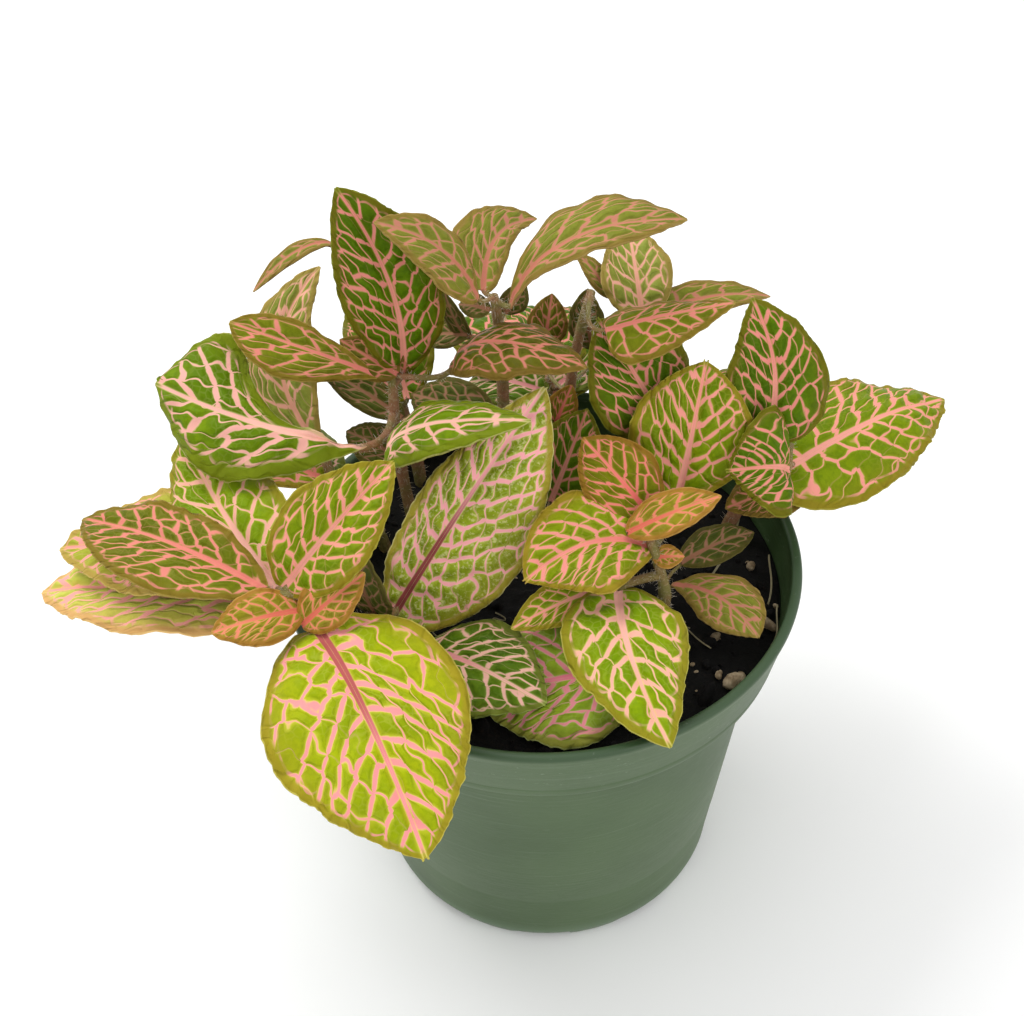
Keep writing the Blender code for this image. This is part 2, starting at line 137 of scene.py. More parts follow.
pot = spun("pot_shell", [(0.0, 0.0)] + POT_OUTSIDE + POT_INSIDE + [(0.0, FLOOR_TOP)], POT_TURNS)
for vert in pot.data.vertices:
    r = math.hypot(vert.co.x, vert.co.y) / MM
    if r > FOOT_INNER and vert.co.z < NOTCH_HEIGHT * MM:
        lift = notch_amount(math.atan2(vert.co.y, vert.co.x)) * NOTCH_HEIGHT * MM
        vert.co.z = max(vert.co.z, lift)
drills = bmesh.new()
for k in range(DRAIN_HOLES):
    a = math.tau * (k + 0.25) / DRAIN_HOLES
    spot = Matrix.Translation((DRAIN_RING * math.cos(a) * MM, DRAIN_RING * math.sin(a) * MM, 0.0))
    bmesh.ops.create_cone(drills, cap_ends=True, segments=48, radius1=DRAIN_RADIUS * MM,
                          radius2=DRAIN_RADIUS * MM, depth=0.02, matrix=spot)
cutter = placed("drills", mesh_of("drills", drills))
cut = pot.modifiers.new("drain_holes", "BOOLEAN")
cut.object = cutter
cut.solver = "EXACT"
graph = bpy.context.evaluated_depsgraph_get()
drilled = bpy.data.meshes.new_from_object(pot.evaluated_get(graph))
pot.modifiers.clear()
pot.data = drilled
bpy.data.objects.remove(cutter)
pot.data.set_sharp_from_angle(angle=math.radians(50))


def colour(red, green, blue):
    """A screen colour from 0 to 255 a channel, as the linear colour that a shader takes."""
    made = []
    for c in (red / 255.0, green / 255.0, blue / 255.0):
        made.append(c / 12.92 if c <= 0.04045 else ((c + 0.055) / 1.055) ** 2.4)
    return (*made, 1.0)


class Flow:
    """A value that a shader node gives. Sums on it add nodes to the same shader."""

    def __init__(self, tree, socket):
        self.tree = tree
        self.socket = socket

    def __add__(self, other):
        return calc("ADD", self, other)

    def __sub__(self, other):
        return calc("SUBTRACT", self, other)

    def __rsub__(self, other):
        return calc("SUBTRACT", other, self)

    def __mul__(self, other):
        return calc("MULTIPLY", self, other)

    def __truediv__(self, other):
        return calc("DIVIDE", self, other)

    def __abs__(self):
        return calc("ABSOLUTE", self)

    __radd__ = __add__
    __rmul__ = __mul__


def feed(socket, value):
    """Gives an input either a flow or a plain value."""
    if isinstance(value, Flow):
        value.tree.links.new(value.socket, socket)
    else:
        socket.default_value = value


def add_node(tree, kind, given, output=0, **settings):
    """The flow from one output of a new node, once it has its settings and its inputs."""
    node = tree.nodes.new("ShaderNode" + kind)
    for name, value in settings.items():
        setattr(node, name, value)
    for name, value in given.items():
        feed(node.inputs[name], value)
    return Flow(tree, node.outputs[output])


def calc(operation, a, b=0.0):
    """A sum of two numbers, at least one of them a flow."""
    tree = a.tree if isinstance(a, Flow) else b.tree
    return add_node(tree, "Math", {0: a, 1: b}, operation=operation)


def between(value, low, high, start=0.0, end=1.0):
    """start where the value is below low, end where it is above high, smooth between."""
    given = {"Value": value, "From Min": low, "From Max": high, "To Min": start, "To Max": end}
    return add_node(value.tree, "MapRange", given, interpolation_type="SMOOTHSTEP")


def blend(amount, under, over):
    """The colour under, painted over with another by an amount from 0 to 1."""
    return add_node(amount.tree, "Mix", {"Factor": amount, 6: under, 7: over}, 2, data_type="RGBA")


def cloud(vector, scale, detail=3.0, roughness=0.55):
    """Soft noise from 0 to 1."""
    given = {"Vector": vector, "Scale": scale, "Detail": detail, "Roughness": roughness}
    return add_node(vector.tree, "TexNoise", given, "Fac")


def parts_of(vector):
    """The three numbers of a vector."""
    node = vector.tree.nodes.new("ShaderNodeSeparateXYZ")
    feed(node.inputs[0], vector)
    return [Flow(vector.tree, output) for output in node.outputs]


def new_finish(name):
    """A material, and the place on its piece in metres, by which its patterns lie."""
    material = bpy.data.materials.new(name)
    material.use_nodes = True
    return material, add_node(material.node_tree, "TexCoord", {}, "Object")


def finished(material, tone, roughness, relief=None, depth=0.0, specular=0.5):
    """The material in its colours, with a relief from 0 to 1 that stands depth metres proud."""
    given = {"Base Color": tone, "Roughness": roughness, "Specular IOR Level": specular}
    if relief is not None:
        bump = {"Strength": 1.0, "Distance": depth, "Height": relief}
        given["Normal"] = add_node(relief.tree, "Bump", bump, "Normal")
    for name, value in given.items():
        feed(material.node_tree.nodes["Principled BSDF"].inputs[name], value)
    return material


def moulded_green():
    """Recycled plastic: faint mould rings, scuffs on the collar, paler towards the bottom, a darker lip."""
    material, here = new_finish("moulded_green_plastic")
    long, squat = (add_node(here.tree, "Mapping", {"Vector": here, "Scale": stretch})
                   for stretch in ((3.0, 3.0, 160.0), (1.0, 1.0, 4.0)))
    ringed = cloud(long, 9.0, 4.0, 0.65)
    scuff = cloud(squat, 330.0, 5.0, 0.75)
    up = parts_of(here)[2] * (1.0 / MM)
    broad = between(cloud(here, 26.0, 2.0), 0.3, 0.7)
    worn = between(scuff, 0.62, 0.72) * (between(up, 68.0, 74.0) * 0.5 + 0.1)
    body = blend(broad, colour(56, 79, 42), colour(68, 91, 53))
    body = blend(between(ringed, 0.55, 0.75) * 0.14, body, colour(150, 166, 146))
    body = blend(worn, body, colour(188, 198, 184))
    # paler green over the lowest 3 to 7 mm, towards the feet
    body = blend(between(up, 7.0, 3.0, 0.0, 0.22), body, colour(128, 150, 128))
    body = blend(between(up, 83.6, 84.6, 0.0, 0.75), body, colour(40, 66, 36))
    relief = cloud(here, 1400.0, 2.0) * 0.25 + ringed * 0.5
    return finished(material, body, 0.36 + scuff * 0.22, relief, 0.00008)


pot.data.materials.append(moulded_green())
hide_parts("pot")


# ----------------------------------------------------------
# Soil: a plug of near-black moist peat mix, pressed in by hand to about a finger below the lip.
# Its top is crumbly, higher in the middle where the stems come up.

SOIL_LEVEL = 76.0
SOIL_SIDE = [(0.0, 1.9), (34.8, 1.9), (36.1, 3.1), (43.7, 67.7), (45.1, 70.0), (47.9, 71.8)]
SOIL_REACH = 48.9
SOIL_RINGS = 64


def crumbled(x, y, z, depth):
    """A height for crumbly soil, in millimetres."""
    coarse = noise.fractal(Vector((x, y, z)) * 0.11, 0.9, 2.1, 5)
    fine = abs(noise.noise(Vector((x, y, z)) * 0.75))
    return depth * (coarse + 0.5 * fine)


rings = [(SOIL_REACH - SOIL_REACH * k / SOIL_RINGS, SOIL_LEVEL) for k in range(SOIL_RINGS + 1)]
soil = spun("soil_plug", SOIL_SIDE + rings, 200)
for vert in soil.data.vertices:
    x, y, z = vert.co / MM
    if z > SOIL_LEVEL - 1.0:
        edge = min(max((SOIL_REACH - math.hypot(x, y)) / 3.0, 0.0), 1.0)
        vert.co.z += (crumbled(x, y, 3.0, 1.0) * (0.3 + 0.7 * edge) - 0.5 * (1.0 - edge)) * MM


def moist_peat(name, dark, light):
    """Near-black peat with lighter grains that come in patches."""
    material, here = new_finish(name)
    crumbs = cloud(here, 900.0, 5.0, 0.7)
    grain = between(crumbs, 0.5, 0.78) * between(cloud(here, 120.0, 3.0), 0.35, 0.65)
    return finished(material, blend(grain, dark, light), 0.88, crumbs, 0.0005, 0.28)


soil.data.materials.append(moist_peat("moist_peat", colour(8, 7, 5), colour(40, 31, 23)))
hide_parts("soil")


# ----------------------------------------------------------
# What lies on the soil: crumbs of peat and bark, white perlite for drainage, and a few pale root
# fibres, all simply scattered by the potting.

rng = np.random.default_rng(11)


def scattered(name, lumps, roundness):
    """Rough little lumps, each (x, y, z, size) in millimetres, as one mesh."""
    shape = bmesh.new()
    for x, y, z, size in lumps:
        turn = Matrix.Rotation(rng.uniform(0, math.tau), 4, Vector(rng.normal(size=3)).normalized())
        grow = Matrix.Diagonal((size * rng.uniform(0.7, 1.3), size * rng.uniform(0.6, 1.0),
                                size * rng.uniform(0.45, 0.8), 1.0))
        spot = Matrix.Translation((x, y, z)) @ turn @ grow
        made = bmesh.ops.create_icosphere(shape, subdivisions=2, radius=0.5, matrix=spot)
        for vert in made["verts"]:
            dent = noise.noise(vert.co * (1.6 / size) + Vector((x, y, size)))
            vert.co += (vert.co - Vector((x, y, z))) * (dent * roundness)
    bmesh.ops.scale(shape, vec=(MM, MM, MM), verts=shape.verts)
    piece = piece_from(name, shape)
    return piece


def strewn(count, small, large, reach):
    """Lumps for scattered(): spread evenly over a disc of the soil, small ones commonest."""
    lumps = []
    for _ in range(count):
        r = reach * math.sqrt(rng.uniform(0.0, 1.0))
        a = rng.uniform(0.0, math.tau)
        size = small + (large - small) * rng.uniform(0.0, 1.0) ** 3
        lumps.append((r * math.cos(a), r * math.sin(a), SOIL_LEVEL + 0.25 * size, size))
    return lumps


crumbs = scattered("peat_crumbs", strewn(420, 0.9, 4.2, 47.0), 0.9)
crumbs.data.materials.append(moist_peat("loose_crumbs", colour(8, 6, 5), colour(44, 33, 24)))


def white_perlite():
    """Puffed volcanic glass, stained by the wet peat."""
    material, here = new_finish("white_perlite")
    stain = between(cloud(here, 420.0, 3.0), 0.35, 0.65)
    tone = blend(stain, colour(120, 100, 72), colour(190, 170, 138))
    return finished(material, tone, 0.9, cloud(here, 2200.0, 3.0), 0.0003)


PERLITE_SEEN = [(35.5, -29, 77.2, 4.4), (37.5, -28, 76.9, 3.0), (33.5, -27, 76.8, 2.2),
                (45, -14.5, 77.0, 3.0), (43.5, 2, 76.9, 3.0), (31, -36, 76.6, 1.8),
                (28.5, -24, 76.7, 1.2), (29, -26, 76.7, 0.9), (47, -10, 77.4, 1.3)]
perlite = scattered("perlite", PERLITE_SEEN + strewn(70, 0.6, 3.2, 46.0), 0.7)
perlite.data.materials.append(white_perlite())


def strand(name, runs, thickness, sides=2):
    """Round cords along lists of (x, y, z, thickness factor), as one mesh."""
    line = bpy.data.curves.new(name, "CURVE")
    line.dimensions = "3D"
    line.bevel_depth = thickness * MM
    line.bevel_resolution = sides
    line.resolution_u = 4
    line.use_fill_caps = True
    for run in runs:
        spline = line.splines.new("NURBS")
        spline.points.add(len(run) - 1)
        for point, (x, y, z, r) in zip(spline.points, run):
            point.co = (x * MM, y * MM, z * MM, 1.0)
            point.radius = r
        spline.use_endpoint_u = True
        spline.order_u = min(4, len(run))
    holder = placed(name, line)
    graph = bpy.context.evaluated_depsgraph_get()
    mesh = bpy.data.meshes.new_from_object(holder.evaluated_get(graph))
    bpy.data.objects.remove(holder)
    shape = bmesh.new()
    shape.from_mesh(mesh)
    bmesh.ops.remove_doubles(shape, verts=shape.verts, dist=1e-6)
    bmesh.ops.recalc_face_normals(shape, faces=shape.faces)
    return piece_from(name, shape)


def plain_fibre():
    """The dull skin of a dry root."""
    material, here = new_finish("pale_root")
    return finished(material, blend(cloud(here, 300.0), colour(96, 90, 62), colour(176, 164, 128)), 0.7)


fibre_runs = [[(44, 22, 77, 1), (43, 16, 80, 1), (41, 8, 81, 1), (37, 1, 79, 1), (33, -3, 76.6, 1)],
              [(47.5, 4, 78, .8), (46.5, 0, 79.5, .8), (47.5, -5, 79, .8), (45.5, -9, 77, .8)],
              [(47, -11, 79, .7), (46, -14, 78, .7), (47, -18, 78.5, .7), (44.6, -20, 76.8, .7)]]
for _ in range(16):
    a = rng.uniform(0.0, math.tau)
    x, y = 30 * math.cos(a) * rng.uniform(0.2, 1.4), 30 * math.sin(a) * rng.uniform(0.2, 1.4)
    run = []
    for k in range(5):
        run.append((x, y, SOIL_LEVEL + 0.9 + rng.uniform(-0.3, 0.9), 0.6))
        x, y = x + rng.uniform(-3.5, 3.5), y + rng.uniform(-3.5, 3.5)
    fibre_runs.append(run)
fibres = strand("root_fibres", fibre_runs, 0.26)
fibres.data.materials.append(plain_fibre())


# ----------------------------------------------------------
# Leaves and stems, how they grow: a blade is 0.4 mm thick with five to twelve sunken side veins a
# half, puffed between them, on a short hairy stalk that runs on as a ridge under the midrib.

LEAF_THICK = 0.42
VEIN_CROWDING = 1.3
VEIN_SLANT = 1.15
VEIN_DEPTH = 0.62
STEM_BOTTOM = 70
STEM_START = 78
STEM_RADIUS = 1.35
HAIR_RADIUS = 0.045
HAIR_END_RADIUS = 0.012


def leaf(look, base, tip, face, width, arch=3.0, **shape):
    """One leaf: its colouring, where its blade begins and ends, which way it looks, its shape.

    Its arch is highest at peak, and it is broadest at wide, with lean added on one half. fold is the V
    of its halves, cup bends them back, and twist turns its tip, in degrees. skew makes one half the
    broader, and swerve and lobe, in millimetres, bow the midrib sideways and round the base.
    """
    row = dict(peak=0.5, fold=0.25, cup=0.25, twist=0.0, swerve=0.0, wide=0.42, skew=0.0, lean=0.0,
               lobe=0.06 * width,
               veins=9 if width > 26 else 8 if width > 16 else 7 if width > 9 else 5)
    row.update(shape)
    row.update(look=look, base=base, tip=tip, face=face, width=width, arch=arch)
    return row


def relief_of(row):
    """How strong a leaf's relief is, 1 for a leaf 24 mm wide."""
    return min(row["width"] / 24.0, 1.15)


def unit(v):
    """Vectors brought to length 1."""
    return v / np.maximum(np.linalg.norm(v, axis=-1, keepdims=True), 1e-9)


def direction(azimuth, elevation):
    """The unit vector that looks along a compass angle and a height angle, in degrees."""
    a = math.radians(azimuth)
    e = math.radians(elevation)
    return np.array([math.cos(a) * math.cos(e), math.sin(a) * math.cos(e), math.sin(e)])


def midrib(row, s):
    """Point, forward, upward and sideways directions of a leaf's midrib, for an array of s."""
    s = np.clip(np.asarray(s, float), 0.004, 0.999)[..., None]
    base = np.array(row["base"], float)
    chord = np.array(row["tip"], float) - base
    ahead = unit(chord)
    up = direction(*row["face"])
    up = unit(up - ahead * (up @ ahead))
    across = np.cross(ahead, up)
    k = math.log(0.5) / math.log(row["peak"])
    rise = 4.0 * s ** k * (1.0 - s ** k)
    slope = 4.0 * (1.0 - 2.0 * s ** k) * k * s ** (k - 1.0)
    bow = up * row["arch"] + across * row["swerve"]
    point = base + chord * s + bow * rise
    forward = unit(chord + bow * slope)
    normal = unit(up - forward * (forward @ up)[..., None])
    side = np.cross(forward, normal)
    turn = math.radians(row["twist"]) * (s - 0.5)
    lifted = np.cos(turn) * normal + np.sin(turn) * side
    levelled = np.cos(turn) * side - np.sin(turn) * normal
    return point, forward, lifted, levelled


def half_width(row, s, y):
    """The width at s of the half where y is: round at the base, pointed at the tip."""
    s = np.clip(s, 0.004, 0.996)
    a = math.log(0.5) / np.log(row["wide"] + np.where(y > 0.0, row["lean"], 0.0))
    share = 1.0 + np.where(y > 0.0, row["skew"], -row["skew"])
    return 0.5 * row["width"] * share * np.sin(math.pi * s ** a) ** 0.72


def blade_point(row, s, y):
    """Points of the blade's upper face, y from -1 to 1 across it, before its veins sink in."""
    point, forward, normal, side = midrib(row, s)
    w = half_width(row, s, y)
    a = np.abs(y)
    flat = math.sqrt(max(1.0 - (row["fold"] * 0.6) ** 2, 0.2))
    height = w * (row["fold"] * a - row["cup"] * a * a)
    wave = 0.03 * row["width"] * a ** 3 * np.sin(math.pi * s)
    height = height + wave * np.sin(19.0 * s + 2.0 * np.sign(y) + row["width"])
    point = point + side * (w * y * flat)[..., None] + normal * height[..., None]
    return point - forward * (row["lobe"] * a * (1.0 - s) ** 4)[..., None], normal, w


def along_leaf(row, u, y, seed):
    """s where the growth coordinate u meets y: a side vein leaves the midrib at a slant and keeps it."""
    side = np.tanh(5.0 * y)
    drift = np.zeros_like(u)
    for k in range(1, 4):
        lean = 0.5 + 0.5 * side * math.sin(seed * 3.1 + k)
        drift = drift + np.sin(math.tau * k * u + seed * (1.3 * k) + 2.0 * side) * lean * 0.011 / k
    s0 = np.clip(u + drift * np.sin(math.pi * u), 0.0, 1.0) ** VEIN_CROWDING
    length = np.linalg.norm(np.array(row["tip"], float) - np.array(row["base"], float))
    ease = np.clip((s0 + 0.03) / 0.28, 0.0, 1.0)
    slant = VEIN_SLANT * ease * ease * (3.0 - 2.0 * ease) * np.abs(y) ** 1.15 / length
    widest = row["wide"] + max(row["lean"], 0.0)
    low, high = s0, np.ones_like(s0)
    for _ in range(24):
        s = 0.5 * (low + high)
        short = s0 + slant * half_width(row, np.maximum(s, widest), y) > s
        low = np.where(short, s, low)
        high = np.where(short, high, s)
    return s


def blade(name, node, row, seed):
    """A leaf blade as a puffed sheet given its thickness, with the course of its veins."""
    rows = int(row["veins"] * (10 if row["width"] > 11 else 7))
    half = int(np.clip(row["width"] * 0.62, 6, 20))
    shape = bmesh.new()
    bmesh.ops.create_grid(shape, x_segments=2 * half, y_segments=rows, size=1.0)
    grid = np.array([vert.co for vert in shape.verts])
    order = np.lexsort((grid[:, 0].round(5), grid[:, 1].round(5)))
    square = grid[order].reshape(rows + 1, 2 * half + 1, 3)
    u = 0.5 + 0.5 * square[..., 1]
    y = np.sign(square[..., 0]) * np.abs(square[..., 0]) ** 1.1
    a = np.abs(y)
    ux = u * row["veins"]
    s = along_leaf(row, u, y, seed)
    point, normal, w = blade_point(row, s, y)
    vein_way = unit(np.gradient(point, axis=1))
    run = np.gradient(point, axis=0) / (row["veins"] / rows)
    along = (run * vein_way).sum(-1)
    pitch = np.linalg.norm(run - vein_way * along[..., None], axis=-1)
    pieces = np.linalg.norm(np.diff(point, axis=1), axis=-1)
    out = np.zeros_like(u)
    out[:, half + 1:] = np.cumsum(pieces[:, half:], axis=1)
    out[:, :half] = np.cumsum(pieces[:, :half][:, ::-1], axis=1)[:, ::-1]

    from_vein = np.abs((ux + 0.5) % 1.0 - 0.5) * pitch
    open_part = np.clip(np.sin(math.pi * u) * 3.0, 0, 1)
    puffed = 0.5 * (1.0 - np.exp(-(from_vein / 1.4) ** 2))
    puffed = puffed * np.clip(1.2 - a, 0.1, 1) * np.clip(a * 4, 0, 1)
    sunk = VEIN_DEPTH * np.exp(-(a * w / 1.2) ** 2)
    crimp = 0.28 * np.sin(math.tau * ux + 1.1) * np.clip((a - 0.6) / 0.4, 0, 1) ** 2
    lumps = [0.8 * noise.noise(Vector(p) * 0.16) + 0.35 * noise.noise(Vector(p) * 0.4)
             for p in point.reshape(-1, 3)]
    calm = 0.3 + 0.7 * np.clip(a * 3.0, 0.0, 1.0)
    lift = (puffed - sunk + crimp + np.array(lumps).reshape(u.shape) * calm) * relief_of(row) * open_part
    point = point + normal * lift[..., None]
    ragged = [noise.noise(Vector(p) * 0.42) + 0.6 * noise.noise(Vector(p) * 1.1)
              for p in point.reshape(-1, 3)]
    frill = np.array(ragged).reshape(u.shape) * 0.016 * row["width"] * np.clip((a - 0.75) / 0.25, 0, 1)
    side = midrib(row, s)[3]
    point = point + side * (np.sign(y) * frill * open_part)[..., None]
    shape.verts.ensure_lookup_table()
    for index, co in zip(order, point.reshape(-1, 3)):
        shape.verts[int(index)].co = co * MM
    piece = piece_from(name, shape)
    mesh = piece.data
    bold = min(0.45 + row["width"] / 45.0, 1.1)
    kept = {"vein": (ux, np.sign(y) * out, a), "span": (a * w, pitch, np.zeros_like(u)),
            "life": (u, np.full_like(u, bold), np.full_like(u, seed))}
    for title, columns in kept.items():
        layer = mesh.attributes.new(title, "FLOAT_VECTOR", "POINT")
        values = np.zeros((len(order), 3), np.float32)
        values[order] = np.stack(columns, axis=-1).reshape(-1, 3)
        layer.data.foreach_set("vector", values.ravel())
    mesh.materials.append(leaf_looks[row["look"]])
    mesh.materials.append(leaf_looks["underside"])
    thick = piece.modifiers.new("thickness", "SOLIDIFY")
    thick.thickness = LEAF_THICK * MM * (0.75 if row["width"] < 12 else 1.0)
    thick.offset = -1.0
    thick.material_offset = 1
    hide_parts(node)
    return piece


def kept_at(here, title):
    """The three numbers that blade() keeps at every point under one title."""
    return parts_of(add_node(here.tree, "Attribute", {}, "Vector", attribute_name=title))


def line(away, half, soft=0.13):
    """1 within half of a line, 0 beyond it."""
    return between(away, half + soft, half - soft)


def cell_edges(here, scale):
    """How far the edge of a small irregular cell is."""
    return add_node(here.tree, "TexVoronoi", {"Vector": here, "Scale": scale}, "Distance",
                    feature="DISTANCE_TO_EDGE")


def vector_sum(operation, a, b=(0, 0, 0), output=0):
    """A sum of two vectors, the first of them a flow."""
    return add_node(a.tree, "VectorMath", {0: a, 1: b}, output, operation=operation)


def net_of_veins(course, down, pitch, step):
    """How far the nearest wall of the cell net is, 1 where it is a side vein, and a number for it."""
    tree = course.tree
    place = add_node(tree, "CombineXYZ", {0: course + 0.725, 1: down})
    given = {"Vector": place, "Scale": 1.0, "Randomness": 0.45}
    first, second = (add_node(tree, "TexVoronoi", given, "Position", voronoi_dimensions="2D",
                              feature=feature) for feature in ("F1", "F2"))
    way = vector_sum("NORMALIZE", vector_sum("SUBTRACT", second, first))
    twice = vector_sum("SUBTRACT", vector_sum("ADD", place, place), vector_sum("ADD", first, second))
    apart = abs(vector_sum("DOT_PRODUCT", twice, way, 1))
    across, along, _ = parts_of(way)
    lane, place_in_lane, _ = parts_of(first)
    next_lane, next_in_lane, _ = parts_of(second)
    slope = calc("POWER", across / pitch, 2.0) + calc("POWER", along / step, 2.0)
    crossing = abs(calc("FLOOR", lane) - calc("FLOOR", next_lane))
    kind = calc("FRACT", (place_in_lane + next_in_lane) * 7.3)
    return apart * 0.5 / calc("SQRT", slope), calc("MINIMUM", crossing, 1.0), kind


def leaf_finish(name, cell, deep, margin, rib, vein, fine, halo, net=0.5, flecks=0.0, bold=1.0,
                glow=0.35, rung=3.3, rim=2.0):
    """The upper face of a leaf: green cells with darker middles, parted by a net of sunken veins.

    rung is the length of a cell and rim the width of the margin without veins, both in millimetres
    on a full-grown leaf. bold scales the veins' widths, glow the pale light beside them, net the fine
    mesh within the cells, and flecks adds pale specks.
    """
    material, here = new_finish(name)
    ux, out, reach = kept_at(here, "vein")
    from_rib, pitch, _ = kept_at(here, "span")
    along, scale, seed = kept_at(here, "life")
    broad = cloud(here, 70.0, 2.0)
    middling = cloud(here, 300.0, 0.0)
    wander = middling - 0.5
    course = ux + wander * 0.14
    to_edge = (from_rib / calc("MAXIMUM", reach, 0.1) - from_rib) / scale
    step = scale * rung
    down = out / step + (seed * 9.0 + (course * 0.5 + wander))
    wall, trunk, kind = net_of_veins(course, down, pitch, step)

    rib_half = scale * between(along, 0.0, 0.9, 0.78 * bold, 0.3)
    beside_rib = from_rib - rib_half
    rib_line = line(from_rib, rib_half) * between(along, 0.96, 0.99, 1.0, 0.0)
    thick = scale * (0.65 + cloud(here, 760.0, 1.0) * 0.7) * between(pitch, 1.0, 3.5, 0.6, 1.0)
    side_half = thick * between(reach, 0.0, 0.9, 0.46 * bold, 0.28 * bold)
    bar_half = thick * between(kind, 0.1, 0.9, 0.1 * bold, 0.26 * bold)
    half = side_half * trunk + bar_half * (1.0 - trunk)
    strength = calc("MAXIMUM", trunk, between(kind, 0.05, 0.22, 0.15, 1.0))
    shown = between(to_edge, rim * 0.6, rim) * strength
    net_line = line(wall, half, 0.12) * shown
    beyond = wall - half
    scallop = abs(calc("SINE", course * math.pi))
    loop_away = scale * abs(to_edge - rim * (1.25 - scallop * 0.5))
    loop_line = line(loop_away, thick * (0.22 * bold), 0.1) * between(middling, 0.4, 0.6, 0.1, 1.0)
    mesh_line = between(cell_edges(here, 620.0), 0.12, 0.02) * between(broad, 0.4, 0.65)

    blotch = cloud(here, 620.0, 4.0, 0.62)
    tone = blend(between(broad, 0.32, 0.68), cell, deep)
    tone = blend(between(blotch, 0.38, 0.64, 0.0, 0.6), tone, deep)
    near = calc("MAXIMUM", strength * between(beyond, 0.7, 0.0), between(beside_rib, 0.9, 0.0))
    tone = blend(near * glow, tone, halo)
    if flecks:
        tone = blend(between(cloud(here, 1300.0, 2.0, 0.6), 0.52, 0.68, 0.0, flecks), tone, fine)
    tone = blend(mesh_line * (net * 0.3), tone, fine)
    tone = blend(between(reach, 0.45, 1.0, 0.0, 0.4), tone, margin)
    tone = blend(between(to_edge + wander, rim, rim * 0.4, 0.0, 0.8), tone, margin)
    tone = blend(loop_line * 0.7, tone, vein)
    tone = blend(net_line * 0.93, tone, vein)
    tone = blend(between(abs(beyond), 0.16, 0.0, 0.0, 0.3) * shown, tone, fine)
    pale = between(abs(beside_rib), 0.3, 0.0) * between(along, 0.3, 0.6, 0.2, 0.6)
    tone = blend(pale, tone, fine)
    tone = blend(rib_line, tone, blend(between(along, 0.4, 0.8), rib, vein))
    tone = blend(between(to_edge * scale, 0.28, 0.1, 0.0, 0.5), tone, fine)

    swell = between(calc("MINIMUM", beside_rib, beyond + (1.0 - strength)), -0.1, 1.1)
    height = swell + (blotch * 0.12 + cloud(here, 2600.0, 1.0) * 0.1)
    return finished(material, tone, 0.36 + middling * 0.2, height, 0.0003, 0.05)


def underside_finish():
    """The matt grey-green back of a leaf, where every vein stands out as a pinkish cord."""
    material, here = new_finish("leaf_underside")
    ux, _, _ = kept_at(here, "vein")
    from_rib, pitch, _ = kept_at(here, "span")
    _, scale, _ = kept_at(here, "life")
    from_vein = abs(calc("FRACT", ux + 0.5) - 0.5) * pitch
    ribs = calc("MAXIMUM", line(from_vein, scale * 0.32, 0.2), line(from_rib, scale * 0.7, 0.25))
    mesh_line = between(cell_edges(here, 520.0), 0.16, 0.03)
    tone = blend(cloud(here, 90.0, 3.0), colour(112, 128, 76), colour(142, 152, 98))
    tone = blend(mesh_line * 0.4, tone, colour(178, 178, 134))
    tone = blend(ribs * 0.8, tone, colour(206, 168, 148))
    return finished(material, tone, 0.6, ribs + mesh_line * 0.4, 0.0004)


leaf_looks = {"underside": underside_finish()}


def look(name, cell, deep, margin, rib, vein, fine, halo, **more):
    """Adds a leaf finish made from seven screen colours."""
    tones = [colour(*tone) for tone in (cell, deep, margin, rib, vein, fine, halo)]
    leaf_looks[name] = leaf_finish(name + "_leaf", *tones, **more)


look("lime", (164, 176, 14), (134, 152, 10), (152, 134, 34), (176, 90, 88), (243, 148, 154),
     (228, 216, 110), (204, 202, 56), net=0.4, bold=1.05, glow=0.5, rung=4.0, rim=2.2)
look("flecked", (158, 172, 44), (122, 142, 24), (156, 140, 48), (150, 76, 74), (252, 168, 178),
     (232, 224, 160), (206, 208, 92), net=0.4, flecks=0.5, rung=3.0)
look("green", (86, 116, 6), (64, 92, 4), (106, 98, 20), (230, 152, 136), (226, 136, 128), (146, 152, 56),
     (122, 142, 26), net=0.4, glow=0.2)
look("spring", (122, 142, 10), (96, 120, 6), (138, 120, 30), (228, 154, 140), (238, 150, 140),
     (184, 176, 76), (158, 166, 40))
look("contrast", (112, 138, 10), (86, 114, 6), (114, 126, 22), (244, 184, 168), (236, 170, 160),
     (204, 196, 126), (148, 164, 44), net=0.3, bold=1.25, glow=0.15, rung=4.4, rim=3.2)
look("limelit", (136, 160, 8), (110, 138, 6), (140, 128, 32), (240, 176, 162), (240, 172, 156),
     (214, 206, 110), (168, 184, 46), net=0.4, bold=1.15, glow=0.3, rung=4.0, rim=2.4)
look("deep", (84, 110, 18), (60, 88, 10), (100, 106, 38), (206, 134, 134), (220, 166, 152), (150, 164, 84),
     (128, 150, 56), net=0.4, glow=0.25)
look("magenta", (166, 190, 52), (128, 158, 34), (150, 146, 62), (246, 136, 156), (250, 148, 164),
     (214, 222, 150), (194, 206, 96), glow=0.25)
look("young", (144, 136, 30), (118, 112, 24), (160, 112, 46), (214, 108, 90), (226, 128, 106),
     (202, 160, 88), (172, 156, 58), net=0.45, bold=1.05)
look("rust", (114, 120, 12), (92, 94, 8), (138, 98, 34), (224, 108, 102), (228, 124, 116), (182, 138, 66),
     (144, 142, 36), glow=0.3)
look("brown", (96, 98, 20), (76, 78, 14), (112, 88, 34), (196, 112, 98), (198, 118, 104), (150, 124, 64),
     (124, 118, 38), net=0.45, glow=0.25)
look("olive", (114, 122, 18), (92, 100, 14), (126, 104, 34), (220, 128, 116), (224, 132, 122),
     (176, 152, 80), (144, 146, 48), glow=0.3)
look("fresh", (132, 148, 12), (108, 128, 8), (148, 124, 34), (230, 132, 122), (236, 144, 138),
     (200, 170, 86), (170, 176, 48), bold=1.05)
